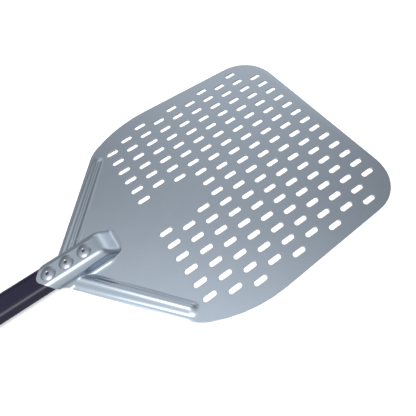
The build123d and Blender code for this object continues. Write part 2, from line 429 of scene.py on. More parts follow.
def lathe(profile: Sequence[tuple[float, float]], centre: Array, up: float,
          segments: int = 48) -> Skin:
    """Turn a profile about a vertical axis.

    Args:
        profile: (radius, height) points; a closed line unless it starts and ends on the axis.
        centre: The foot of the axis, where the heights start.
        up: 1 for heights upwards, -1 for heights downwards.
        segments: Steps round the axis.

    Returns:
        The skin of the turned piece.
    """
    skin = Skin()
    angles = np.linspace(0.0, 2 * math.pi, segments, endpoint=False) * up
    circle = np.column_stack((np.cos(angles), np.sin(angles), np.zeros(segments)))
    open_ended = profile[0][0] == 0.0
    rows = []
    for radius, height in profile:
        if radius == 0.0:
            rows.append(skin.add(centre[None, :] + np.array([[0.0, 0.0, up * height]])))
        else:
            rows.append(skin.add(centre + circle * radius + np.array((0.0, 0.0, up * height))))
    pairs = list(zip(rows, rows[1:])) if open_ended else list(zip(rows, rows[1:] + rows[:1]))
    for row, following in pairs:
        if len(row) == 1:
            skin.faces += [(row[0], following[i], following[(i + 1) % segments])
                           for i in range(segments)]
        elif len(following) == 1:
            skin.faces += [(row[(i + 1) % segments], row[i], following[0])
                           for i in range(segments)]
        else:
            skin.strip(row[::-1], following[::-1])
    return skin


def arc_points(centre: tuple[float, float], radius: float, start: float, end: float,
               count: int) -> list[tuple[float, float]]:
    """Points of an arc in a profile, between two angles in degrees."""
    angles = np.radians(np.linspace(start, end, count))
    return [(centre[0] + radius * math.cos(a), centre[1] + radius * math.sin(a)) for a in angles]


def settle(piece: bpy.types.Object, material: bpy.types.Material, slot: str,
           *nodes: str) -> bpy.types.Object:
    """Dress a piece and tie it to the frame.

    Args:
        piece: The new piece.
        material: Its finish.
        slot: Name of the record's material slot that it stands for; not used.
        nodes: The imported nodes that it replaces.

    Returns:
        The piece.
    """
    piece.data.materials.clear()
    piece.data.materials.append(material)
    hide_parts(*nodes)
    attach(piece, BODY)
    log.info("%s: %d vertices", piece.name, len(piece.data.vertices))
    return piece


# ------------------------------------------------------------------ materials

class Graph:
    """Short ways to add and join the nodes of one tree."""

    def __init__(self, tree: bpy.types.NodeTree) -> None:
        """Start on an emptied tree."""
        self.tree = tree
        tree.nodes.clear()

    def add(self, kind: str, inputs: dict | None = None, **settings: object) -> bpy.types.Node:
        """Add a node.

        Args:
            kind: The node's type.
            inputs: Values or sockets for its inputs, by name or number.
            settings: Its properties.

        Returns:
            The node.
        """
        node = self.tree.nodes.new(kind)
        for name, value in settings.items():
            setattr(node, name, value)
        for key, value in (inputs or {}).items():
            if isinstance(value, bpy.types.NodeSocket):
                self.tree.links.new(value, node.inputs[key])
            else:
                node.inputs[key].default_value = value
        return node

    def math(self, operation: str, *values: object) -> bpy.types.NodeSocket:
        """Result of a sum on values or sockets."""
        node = self.add("ShaderNodeMath", dict(enumerate(values)), operation=operation)
        return node.outputs[0]

    def range(self, value: object, low: float, high: float, to_low: float = 0.0,
              to_high: float = 1.0) -> bpy.types.NodeSocket:
        """Map a value smoothly from one range to another.

        Args:
            value: The value or socket.
            low: The first range's start.
            high: The first range's end.
            to_low: The second range's start.
            to_high: The second range's end.

        Returns:
            The mapped value.
        """
        node = self.add("ShaderNodeMapRange", {
            "Value": value, "From Min": low, "From Max": high, "To Min": to_low,
            "To Max": to_high}, interpolation_type="SMOOTHSTEP")
        return node.outputs["Result"]

    def mix(self, share: object, first: object, second: object) -> bpy.types.NodeSocket:
        """Colour between two colours."""
        node = self.add("ShaderNodeMix", {0: share, 6: first, 7: second}, data_type="RGBA")
        return node.outputs[2]

    def noise(self, place: bpy.types.NodeSocket, size: object, detail: float = 3.0,
              roughness: float = 0.5) -> bpy.types.NodeSocket:
        """Add noise from 0 to 1.

        Args:
            place: Where the noise is taken, in metres.
            size: Size of its features, in millimetres.
            detail: Number of finer layers.
            roughness: Strength of the finer layers.

        Returns:
            The noise.
        """
        scale = self.math("DIVIDE", 1.0 / MM, size)
        node = self.add("ShaderNodeTexNoise", {
            "Vector": place, "Scale": scale, "Detail": detail, "Roughness": roughness})
        return node.outputs["Fac"]

    def place(self) -> bpy.types.NodeSocket:
        """The surface's own place, in metres."""
        return self.add("ShaderNodeTexCoord").outputs["Object"]


def effect(name: str, inputs: dict[str, float], outputs: Sequence[str],
           build: Callable[[Graph, dict, dict], None]) -> bpy.types.NodeTree:
    """Make a shader node group.

    Args:
        name: The group's name.
        inputs: Its inputs, with their default values.
        outputs: Its outputs, which are all plain values.
        build: Function that joins the inputs to the outputs.

    Returns:
        The group.
    """
    tree = bpy.data.node_groups.new(name, "ShaderNodeTree")
    graph = Graph(tree)
    for label, value in inputs.items():
        socket = tree.interface.new_socket(label, in_out="INPUT", socket_type="NodeSocketFloat")
        socket.default_value = value
    for label in outputs:
        tree.interface.new_socket(label, in_out="OUTPUT", socket_type="NodeSocketFloat")
    source = graph.add("NodeGroupInput")
    sink = graph.add("NodeGroupOutput")
    results: dict[str, bpy.types.NodeSocket] = {}
    build(graph, {label: source.outputs[label] for label in inputs}, results)
    for label, socket in results.items():
        tree.links.new(socket, sink.inputs[label])
    return tree


@dataclass
class Effects:
    """The shared surface effects, each built once."""

    grain: bpy.types.NodeTree = field(init=False)
    marks: bpy.types.NodeTree = field(init=False)
    wear: bpy.types.NodeTree = field(init=False)

    def __post_init__(self) -> None:
        """Build the three groups."""
        self.grain = effect("surface grain", {"Size": 0.5, "Draw": 1.0}, ["Height", "Tone"],
                            self._build_grain)
        self.marks = effect("handling marks", {"Size": 60.0, "Scratch Spacing": 9.0},
                            ["Smudge", "Scratch"], self._build_marks)
        self.wear = effect("edge wear", {"Rim": 0.0, "Size": 4.0, "Amount": 0.5}, ["Mask"],
                           self._build_wear)

    @staticmethod
    def _build_grain(graph: Graph, given: dict, results: dict) -> None:
        """Fine pits, drawn out along Y by Draw, over a slower drift of tone.

        Args:
            graph: The group's graph.
            given: Its inputs.
            results: Its outputs, which this fills in.
        """
        drawn = graph.add("ShaderNodeCombineXYZ", {
            0: 1.0, 1: graph.math("DIVIDE", 1.0, given["Draw"]), 2: 1.0})
        place = graph.add("ShaderNodeVectorMath", {0: graph.place(), 1: drawn.outputs[0]},
                          operation="MULTIPLY").outputs[0]
        coarse_size = 5.0
        coarse_share = 0.3
        fine = graph.noise(place, given["Size"], 2.0, 0.6)
        coarse = graph.noise(place, graph.math("MULTIPLY", given["Size"], coarse_size), 2.0)
        results["Height"] = graph.math("ADD", graph.math("MULTIPLY", fine, 1.0 - coarse_share),
                                       graph.math("MULTIPLY", coarse, coarse_share))
        results["Tone"] = coarse

    @staticmethod
    def _build_marks(graph: Graph, given: dict, results: dict) -> None:
        """Wiped smudges, and sparse hairline scratches at mixed angles.

        Args:
            graph: The group's graph.
            given: Its inputs.
            results: Its outputs, which this fills in.
        """
        smudge_range = (0.42, 0.68)
        patch_range = (0.56, 0.62)
        patch_size = 55.0
        hair_width = 0.006
        place = graph.place()
        cloud = graph.noise(place, given["Size"], 4.0, 0.6)
        results["Smudge"] = graph.range(cloud, *smudge_range)
        scratches = None
        for turn, share in ((0.35, 1.0), (-0.9, 1.3), (1.25, 0.8)):
            turned = graph.add("ShaderNodeVectorRotate", {
                "Vector": place, "Angle": turn}, rotation_type="Z_AXIS").outputs[0]
            long = graph.add("ShaderNodeVectorMath", {0: turned, 1: (1.0, 0.02, 1.0)},
                             operation="MULTIPLY").outputs[0]
            lines = graph.noise(long, graph.math("MULTIPLY", given["Scratch Spacing"], share),
                                2.0, 0.7)
            ridge = graph.math("ABSOLUTE", graph.math("SUBTRACT", lines, 0.5))
            hair = graph.range(ridge, 0.0, hair_width, 1.0, 0.0)
            patch = graph.range(graph.noise(turned, patch_size, 1.0), *patch_range)
            hair = graph.math("MULTIPLY", hair, patch)
            scratches = hair if scratches is None else graph.math("MAXIMUM", scratches, hair)
        results["Scratch"] = scratches

    @staticmethod
    def _build_wear(graph: Graph, given: dict, results: dict) -> None:
        """Bare, broken-up wear where the rim value is high.

        Args:
            graph: The group's graph.
            given: Its inputs.
            results: Its outputs, which this fills in.
        """
        broken_range = (0.3, 0.7)
        rim_range = (0.3, 1.0)
        broken = graph.noise(graph.place(), given["Size"], 3.0, 0.6)
        limit = graph.math("MULTIPLY", given["Amount"], graph.range(broken, *broken_range))
        results["Mask"] = graph.math("MULTIPLY", graph.range(given["Rim"], *rim_range), limit)

    @staticmethod
    def use(graph: Graph, group: bpy.types.NodeTree, **values: object) -> dict:
        """Place one group in a material.

        Args:
            graph: The material's graph.
            group: One of the groups.
            values: Its inputs, with spaces written as underscores.

        Returns:
            Its outputs by name.
        """
        node = graph.add("ShaderNodeGroup", node_tree=group)
        for label, value in values.items():
            socket = node.inputs[label.replace("_", " ")]
            if isinstance(value, bpy.types.NodeSocket):
                graph.tree.links.new(value, socket)
            else:
                socket.default_value = value
        return {socket.name: socket for socket in node.outputs}


SMUDGE_SHARE = 0.5   # how far a full smudge goes towards its own colour and gloss
SCRATCH_DEPTH = 0.6  # depth of a full scratch, of the grain's height


@dataclass(frozen=True)
class Finish:
    """One finish: its colours, gloss, grain, marks and wear."""

    name: str
    colour: tuple[float, float, float]
    worn_colour: tuple[float, float, float]
    metallic: float
    roughness: float
    roughness_spread: float
    grain_size: float
    grain_draw: float
    grain_depth: float
    grain_tone: float
    mark_size: float
    mark_tone: float
    scratch_spacing: float
    scratch_tone: float
    wear_amount: float
    specular: float = 0.5

    def _shade(self, share: float) -> tuple[float, ...]:
        """Return the finish's colour made lighter or darker."""
        return tuple(min(1.0, part * share) for part in self.colour) + (1.0,)

    def material(self, effects: Effects) -> bpy.types.Material:
        """Build the finish as a material.

        Args:
            effects: The shared surface effects.

        Returns:
            The material.
        """
        material = bpy.data.materials.new(self.name)
        material.use_nodes = True
        graph = Graph(material.node_tree)
        rim = graph.add("ShaderNodeAttribute", attribute_name="rim").outputs["Fac"]
        grain = effects.use(graph, effects.grain, Size=self.grain_size, Draw=self.grain_draw)
        marks = effects.use(graph, effects.marks, Size=self.mark_size,
                            Scratch_Spacing=self.scratch_spacing)
        wear = effects.use(graph, effects.wear, Rim=rim, Amount=self.wear_amount)["Mask"]
        dark = self._shade(1.0 - self.grain_tone)
        light = self._shade(1.0 + self.grain_tone)
        smudged = self._shade(1.0 - self.mark_tone)
        worn = self.worn_colour + (1.0,)
        colour = graph.mix(grain["Tone"], dark, light)
        colour = graph.mix(graph.math("MULTIPLY", marks["Smudge"], SMUDGE_SHARE), colour, smudged)
        scratched = graph.math("MULTIPLY", marks["Scratch"], self.scratch_tone)
        colour = graph.mix(graph.math("MAXIMUM", scratched, wear), colour, worn)
        gloss = graph.math("MULTIPLY_ADD", graph.math("SUBTRACT", grain["Tone"], 0.5),
                           self.roughness_spread, self.roughness)
        gloss = graph.math("MULTIPLY_ADD", marks["Smudge"],
                           self.roughness_spread * SMUDGE_SHARE, gloss)
        relief = graph.math("SUBTRACT", grain["Height"],
                            graph.math("MULTIPLY", scratched, SCRATCH_DEPTH))
        bump = graph.add("ShaderNodeBump", {
            "Height": relief, "Strength": 1.0, "Distance": self.grain_depth * MM})
        shader = graph.add("ShaderNodeBsdfPrincipled", {
            "Base Color": colour, "Metallic": self.metallic, "Roughness": gloss,
            "Specular IOR Level": self.specular, "Normal": bump.outputs["Normal"]})
        graph.add("ShaderNodeOutputMaterial", {"Surface": shader.outputs[0]})
        return material


HEAD_FINISH = Finish(
    name="satin head sheet", colour=(0.424, 0.490, 0.572), worn_colour=(0.62, 0.66, 0.70),
    metallic=1.0, roughness=0.19, roughness_spread=0.04, grain_size=2.6, grain_draw=1.6,
    grain_depth=0.0001, grain_tone=0.02, mark_size=70.0, mark_tone=0.03, scratch_spacing=9.0,
    scratch_tone=0.06, wear_amount=0.55)
TUBE_FINISH = Finish(
    name="black anodised tube", colour=(0.002, 0.001, 0.020), worn_colour=(0.16, 0.16, 0.19),
    metallic=0.0, roughness=0.18, roughness_spread=0.05, grain_size=0.35, grain_draw=9.0,
    grain_depth=0.002, grain_tone=0.10, mark_size=30.0, mark_tone=-0.25, scratch_spacing=6.0,
    scratch_tone=0.12, wear_amount=0.4, specular=0.42)
GRIP_FINISH = Finish(
    name="moulded grip", colour=(0.018, 0.018, 0.020), worn_colour=(0.07, 0.07, 0.075),
    metallic=0.0, roughness=0.52, roughness_spread=0.12, grain_size=0.55, grain_draw=1.0,
    grain_depth=0.05, grain_tone=0.12, mark_size=25.0, mark_tone=-0.3, scratch_spacing=5.0,
    scratch_tone=0.3, wear_amount=0.5)
RIVET_FINISH = Finish(
    name="rivet aluminium", colour=(0.35, 0.39, 0.45), worn_colour=(0.75, 0.77, 0.80),
    metallic=1.0, roughness=0.15, roughness_spread=0.08, grain_size=0.25, grain_draw=1.0,
    grain_depth=0.0015, grain_tone=0.03, mark_size=9.0, mark_tone=0.06, scratch_spacing=2.5,
    scratch_tone=0.15, wear_amount=0.5)
# The mandrel's colour is darker than bare steel: it is painted shade of the bore the mandrel sits
# down in.
MANDREL_FINISH_WITH_PAINTED_SHADE = Finish(
    name="broken mandrel steel with painted bore shade", colour=(0.15, 0.15, 0.17), worn_colour=(0.32, 0.32, 0.34),
    metallic=1.0, roughness=0.45, roughness_spread=0.15, grain_size=0.3, grain_draw=1.0,
    grain_depth=0.02, grain_tone=0.25, mark_size=3.0, mark_tone=0.2, scratch_spacing=1.0,
    scratch_tone=0.2, wear_amount=0.4)


# ------------------------------------------------------------------ the head

@dataclass
class HeadPlate:
    """The pressed, slotted sheet: plate, hump over the tube, tongue and two ribs."""

    name: str = "pressed_head"
    node: str = "head_plate"
    sheet: float = 1.5
    widest_y: float = -42.0
    side_draft: float = 2.0
    front_corner_radius: float = 50.0
    shoulder_radius: float = 177.0
    shoulder_turn: float = 25.7
    waist_radius: float = 52.0
    shoulder_straight: float = 0.1
    taper_turn: float = 49.3
    neck_radius: float = 8.0
    tongue_half_width: float = 17.3
    tongue_side_length: float = 6.5
    tongue_tip_length: float = 20.0
    tongue_corner_radius: float = 5.0
    tongue_tip_radius: float = 7.0
    bevel_length: float = 7.0
    bevel_depth: float = 0.7
    slot_length: float = 16.5
    slot_width: float = 6.0
    column_pitch: float = 17.6
    row_pitch: float = 26.1
    front_row_margin: float = 22.8
    slot_rows: tuple[tuple[float, float], ...] = (
        (0, 6), (0.5, 7.5), (0, 7), (0.5, 7.5), (0, 7), (0.5, 7.5), (0, 7),
        (1.5, 7.5), (2, 7), (1.5, 6.5))
    hump_arc_x: float = 7.8
    hump_arc_radius: float = 9.0
    hump_foot_radius: float = 10.0
    ramp_length: float = 16.5
    ramp_foot_radius: float = 8.0
    ramp_top_setback: float = 5.0
    ramp_top_blend: float = 9.0
    ramp_corner_blend: float = 1.32
    ramp_foot_blend: float = 0.3
    rib_inset: float = 12.7
    rib_heights: tuple[float, float] = (4.6, 3.2)
    rib_inner_widths: tuple[float, float] = (9.5, 7.1)
    rib_outer_widths: tuple[float, float] = (11.7, 9.1)
    rib_end_setback: float = 14.0
    rib_run_out: float = 11.0
    rib_neck_x: tuple[float, float] = (8.0, 14.0)
    rib_step_length: float = 3.25
    rib_step_start: float = 1.3
    rib_step_depth: float = 0.23
    rib_blend: float = 4.0
    lip_width: float = 3.0
    lip_lean: float = 12.0
    lip_neck_x: tuple[float, float] = (24.0, 34.0)
    rivet_hole: float = 4.9
    arc_step: float = 6.0
    line_step: float = 4.0
    relief_step: float = 1.6
    least_relief: float = 1e-4
    fine_before_ramp: float = 8.0
    fine_after_ramp: float = 6.0
    relief_past_waist: float = 4.0
    bevel_past_waist: float = 20.0
    flat_top_steps: int = 4
    arc_end: float = 86.0
    ramp_step: float = 0.9
    bevel_step: float = 6.0
    crease_half: float = 0.25
    edge_band: float = 1.4
    outline_gap: float = 1.3
    hole_gap: float = 1.2
    slot_end_steps: int = 10
    rivet_hole_steps: int = 12
    rib_line_gap: float = 0.65
    rib_row_gap: float = 2.8
    rib_lines_x: float = 28.0

    def __post_init__(self) -> None:
        """Work out the plan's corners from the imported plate's box."""
        half, self.front_y, self.top_z = in_millimetres(self.node)[1]
        lean = math.radians(self.side_draft)
        touch = (np.array((half - self.shoulder_radius, self.widest_y))
                 + np.array((math.cos(lean), math.sin(lean))) * self.shoulder_radius)
        side_way, self.taper_way = heading(-self.side_draft), heading(self.taper_turn)
        across, along = np.array((1.0, 0.0)), np.array((0.0, 1.0))
        shoulder_turned = math.radians(self.side_draft + self.shoulder_turn)
        waist_turned = math.radians(self.taper_turn - self.shoulder_turn)
        shoulder_reach = self.shoulder_radius * math.tan(shoulder_turned / 2)
        waist_reach = self.waist_radius * math.tan(waist_turned / 2)
        arcs_apart = shoulder_reach + self.shoulder_straight + waist_reach
        front_corner = crossing(touch, side_way, self.front_y * along, across)
        shoulder = touch + side_way * shoulder_reach
        self.waist = shoulder + heading(self.shoulder_turn) * arcs_apart
        neck = crossing(self.waist, self.taper_way, self.tongue_half_width * across, along)
        self.right_side = [
            Corner(neck - self.tongue_side_length * along, self.tongue_corner_radius),
            Corner(neck, self.neck_radius),
            Corner(self.waist, self.waist_radius),
            Corner(shoulder, self.shoulder_radius),
            Corner(front_corner, self.front_corner_radius),
        ]
        self.tip = Corner(along * (neck[1] - self.tongue_tip_length), self.tongue_tip_radius)
        self.neck_y = neck[1]
        self.ramp_top_y = in_millimetres("handle_tube")[1][1] + self.ramp_top_setback
        self.rivet_ys = [float(in_millimetres(name)[0][1] + in_millimetres(name)[1][1]) / 2
                         for name in sorted(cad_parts) if name.startswith("rivet_body")]

    def outline(self) -> Loop:
        """Edge of the head, anticlockwise from the tongue's tip."""
        left = [Corner(c.place * (-1, 1), c.radius) for c in reversed(self.right_side)]
        return rounded_loop([self.tip, *self.right_side, *left], self.arc_step, self.line_step)

    def slots(self) -> list[Loop]:
        """Lay out the slots.

        Returns:
            Their edges, row by row from the leading edge aft.
        """
        loops = []
        for row, (inner, outer) in enumerate(self.slot_rows):
            y = self.front_y - self.front_row_margin - row * self.row_pitch
            for column in np.arange(inner, outer + 1):
                for side in ((-1, 1) if column else (1,)):
                    loops.append(slot_loop(side * column * self.column_pitch, y,
                                           self.slot_length, self.slot_width,
                                           self.slot_end_steps))
        return loops

    def hump_rise(self, x: Array) -> Array:
        """Height of the hump above the plate, cut straight across the handle.

        Args:
            x: Places across.

        Returns:
            The heights, as if the hump had no end.
        """
        centre_z = self.top_z - self.hump_arc_radius
        foot_z = self.sheet + self.hump_foot_radius
        spread = self.hump_arc_radius + self.hump_foot_radius
        rise = foot_z - centre_z
        foot_x = self.hump_arc_x + math.sqrt(spread ** 2 - rise ** 2)
        meet_x = self.hump_arc_x + (foot_x - self.hump_arc_x) * self.hump_arc_radius / spread
        away = np.abs(x)
        crown = np.sqrt(np.maximum(
            self.hump_arc_radius ** 2 - np.maximum(away - self.hump_arc_x, 0.0) ** 2, 0.0))
        foot = np.sqrt(np.maximum(
            self.hump_foot_radius ** 2 - np.clip(foot_x - away, 0.0, None) ** 2, 0.0))
        height = np.where(away < meet_x, centre_z + crown, foot_z - foot)
        return height - self.sheet

    def ramp_rise(self, y: Array) -> Array:
        """Height of the ramp above the plate, along the handle.

        Args:
            y: Places along.

        Returns:
            The heights, as if the ramp went on rising aft.
        """
        full = self.top_z - self.sheet
        slope = math.atan2(full, self.ramp_length)
        behind = self.ramp_top_y + self.ramp_length - y
        bend = self.ramp_foot_radius * math.tan(slope / 2)
        into = np.clip(behind + bend, 0.0, bend * (1 + math.cos(slope)))
        curve = self.ramp_foot_radius - np.sqrt(self.ramp_foot_radius ** 2 - into ** 2)
        beyond = np.maximum(behind + bend - into, 0.0)
        return curve + beyond * math.tan(slope)

    def rib_rise(self, x: Array, y: Array) -> Array:
        """Height of the two ribs above the plate.

        Args:
            x: Places across.
            y: Places along.

        Returns:
            The heights, with the steps on the ribs' inner flanks.
        """
        from_edge, behind_waist = self.along_rib(np.column_stack((x, y)))
        neck_reach = (self.waist[0] - self.tongue_half_width) / -self.taper_way[0]
        share = np.clip((behind_waist - self.rib_end_setback)
                        / (neck_reach - self.rib_end_setback), 0.0, 1.0)
        outside = self.rib_inset - from_edge
        widths = np.where(outside < 0, *(
            pair[1] + (pair[0] - pair[1]) * share
            for pair in (self.rib_inner_widths, self.rib_outer_widths)))
        height = self.rib_heights[1] + (self.rib_heights[0] - self.rib_heights[1]) * share
        across = math.pi * np.clip(outside / widths, -1.0, 1.0)
        steps = np.sin(2 * math.pi * (-outside - self.rib_step_start) / self.rib_step_length)
        stepped = np.where(across < 0, steps * np.sin(across) * self.rib_step_depth, 0.0)
        ended = smooth_step(behind_waist, self.rib_end_setback - self.rib_run_out,
                            self.rib_end_setback)
        buried = smooth_step(np.abs(x), *self.rib_neck_x)
        return (height * (0.5 + 0.5 * np.cos(across)) + stepped) * ended * buried

    def lip_fall(self, x: Array, y: Array) -> Array:
        """Fall of the lip outside a rib, below the plate's face.

        Args:
            x: Places across.
            y: Places along.

        Returns:
            The falls, which are 0 away from the lips.
        """
        from_edge, behind_waist = self.along_rib(np.column_stack((x, y)))
        near = np.clip(1.0 - from_edge / self.lip_width, 0.0, None)
        fall = near ** 2 * self.lip_width / 2 * math.tan(math.radians(self.lip_lean))
        begun = smooth_step(behind_waist, 0.0, self.rib_end_setback)
        return fall * begun * smooth_step(np.abs(x), *self.lip_neck_x)

    def height(self, plan: Array) -> Array:
        """Height of the sheet's upper face, before its front edge is thinned.

        Args:
            plan: Points of the plan.

        Returns:
            The heights above the ground.
        """
        x, y = plan[:, 0], plan[:, 1]
        full = self.top_z - self.sheet
        along = blended_least(self.ramp_rise(y), np.full(len(y), full), self.ramp_top_blend)
        falls = np.clip(1.0 - np.stack((self.hump_rise(x), along)) / full, 0.0, 1.0)
        fall = np.sum(falls ** self.ramp_corner_blend, axis=0) ** (1.0 / self.ramp_corner_blend)
        left = np.clip(1.0 - fall, 0.0, 1.0)
        foot = self.ramp_foot_blend
        eased = np.where(left < foot, left ** 2 / (2 * foot), left - foot / 2) / (1 - foot / 2)
        hump = full * eased
        raised = blended_most(hump, self.rib_rise(x, y), self.rib_blend)
        return self.sheet + raised - self.lip_fall(x, y)

    def thinned_height(self, plan: Array) -> Array:
        """Height of the sheet's upper face."""
        into = np.clip(plan[:, 1] - (self.front_y - self.bevel_length), 0.0, None)
        return self.height(plan) - into * self.bevel_depth / self.bevel_length

    @staticmethod
    def surface(height: Callable[[Array], Array], plan: Array) -> tuple[Array, Array]:
        """Raise the plan to a height.

        Args:
            height: Function that gives the height.
            plan: Points of the plan.

        Returns:
            The points' places and their upward normals.
        """
        step = 0.01
        x_step = np.array((step, 0.0))
        y_step = np.array((0.0, step))
        slope_x = (height(plan + x_step) - height(plan - x_step)) / (2 * step)
        slope_y = (height(plan + y_step) - height(plan - y_step)) / (2 * step)
        normals = np.column_stack((-slope_x, -slope_y, np.ones(len(plan))))
        normals /= np.linalg.norm(normals, axis=1, keepdims=True)
        return np.column_stack((plan, height(plan))), normals

    def upper(self, plan: Array) -> tuple[Array, Array]:
        """Places and normals of the upper face."""
        return self.surface(self.thinned_height, plan)

    def lower(self, plan: Array) -> tuple[Array, Array]:
        """Places and normals of the underside, one sheet below the upper face."""
        points, normals = self.surface(self.height, plan)
        return points - normals * self.sheet, -normals

    def along_rib(self, points: Array) -> tuple[Array, Array]:
        """Distance of each point in from the tapered edge, and aft of the waist's corner."""
        place = np.column_stack((np.abs(points[:, 0]), points[:, 1])) - self.waist
        return place @ (left_of(self.taper_way) * -1.0), place @ self.taper_way

    def rib_points(self) -> Array:
        """Lay points along the straight stretches of both ribs, where the sheet bends only across.

        Returns:
            Points of the plan.
        """
        reach = (self.waist[0] - self.rib_lines_x) / -self.taper_way[0]
        across = np.arange(self.edge_band, self.rib_inset + self.rib_inner_widths[0] + 1.0,
                           self.rib_line_gap)
        along = np.concatenate((np.arange(0.0, self.rib_end_setback, self.relief_step),
                                np.arange(self.rib_end_setback, reach, self.rib_row_gap)))
        inward = left_of(self.taper_way) * -1.0
        right = (self.waist + along[:, None, None] * self.taper_way
                 + across[None, :, None] * inward).reshape(-1, 2)
        right = right[right[:, 0] > self.rib_lines_x]
        return np.concatenate((right, right * (-1, 1)))

    def relief_points(self, loops: Sequence[Loop]) -> Array:
        """Points of the plan that the raised stretches and the front bevel need.

        Args:
            loops: The outline first, then the holes, which the points keep clear of.

        Returns:
            The points.
        """
        arc = np.radians(np.arange(0.0, self.arc_end, self.arc_step))
        spread = self.hump_arc_radius + self.hump_foot_radius
        xs = np.concatenate((
            np.linspace(0.0, self.hump_arc_x, self.flat_top_steps)[:-1],
            self.hump_arc_x + self.hump_arc_radius * np.sin(arc),
            self.hump_arc_x + spread - self.hump_foot_radius * np.sin(arc[::-1]),
            np.arange(self.hump_arc_x + spread, self.waist[0], self.relief_step)[1:]))
        xs = np.concatenate((-xs[:0:-1], xs))
        ramp_start = self.ramp_top_y - self.fine_before_ramp
        ramp_end = self.ramp_top_y + self.ramp_length + self.fine_after_ramp
        ys = np.concatenate((
            np.arange(self.tip.place[1], ramp_start, self.relief_step),
            np.arange(ramp_start, ramp_end, self.ramp_step),
            np.arange(ramp_end, self.waist[1] + self.relief_past_waist, self.relief_step)))
        grid = np.stack(np.meshgrid(xs, ys), axis=-1).reshape(-1, 2)
        reach = 2 * self.relief_step
        corners = np.array(((0, 0), (1, 1), (1, -1), (-1, 1), (-1, -1))) * reach
        raised = np.max([np.abs(self.height(grid + corner) - self.sheet) for corner in corners],
                        axis=0)
        grid = grid[raised > self.least_relief]
        lines = self.rib_points()
        from_edge, behind_waist = self.along_rib(grid)
        in_lines = ((from_edge < self.along_rib(lines)[0].max() + self.rib_line_gap)
                    & (behind_waist > 0) & (np.abs(grid[:, 0]) > self.rib_lines_x))
        grid = np.concatenate((grid[~in_lines], lines))
        crease = self.front_y - self.bevel_length
        bevel_reach = self.waist[0] + self.bevel_past_waist
        bevel_x = np.arange(-bevel_reach, bevel_reach, self.bevel_step)
        bevel = [np.column_stack((bevel_x, np.full(len(bevel_x), crease + shift)))
                 for shift in (-self.crease_half, self.crease_half)]
        points = np.concatenate((grid, *bevel))
        outline, *holes = loops
        lean = np.clip(self.upper(points)[1][:, 2], LEAST_LEAN, 1.0)
        kept = outline.holds(points) & (outline.distance(points) > self.outline_gap * lean)
        for hole in holes:
            centre = hole.points.mean(axis=0)
            near = np.abs(points - centre).max(axis=1) < self.slot_length
            clear = ~hole.holds(points[near]) & (hole.distance(points[near]) > self.hole_gap)
            kept[near] &= clear
        return points[kept]

    def build(self, material: bpy.types.Material) -> bpy.types.Object:
        """Make the head.

        Args:
            material: Its finish.

        Returns:
            The piece.
        """
        rivet_holes = [slot_loop(0.0, y, self.rivet_hole, self.rivet_hole,
                                 self.rivet_hole_steps) for y in self.rivet_ys]
        loops = [self.outline(), *self.slots(), *rivet_holes]
        mesher = SheetMesher(self.upper, self.lower)
        skin = mesher.mesh(loops[0], loops[1:], self.relief_points(loops))
        piece = skin.make(self.name, Shading.GIVEN)
        return settle(piece, material, "head_sheet", self.node)


# ------------------------------------------------------------------ the handle tube

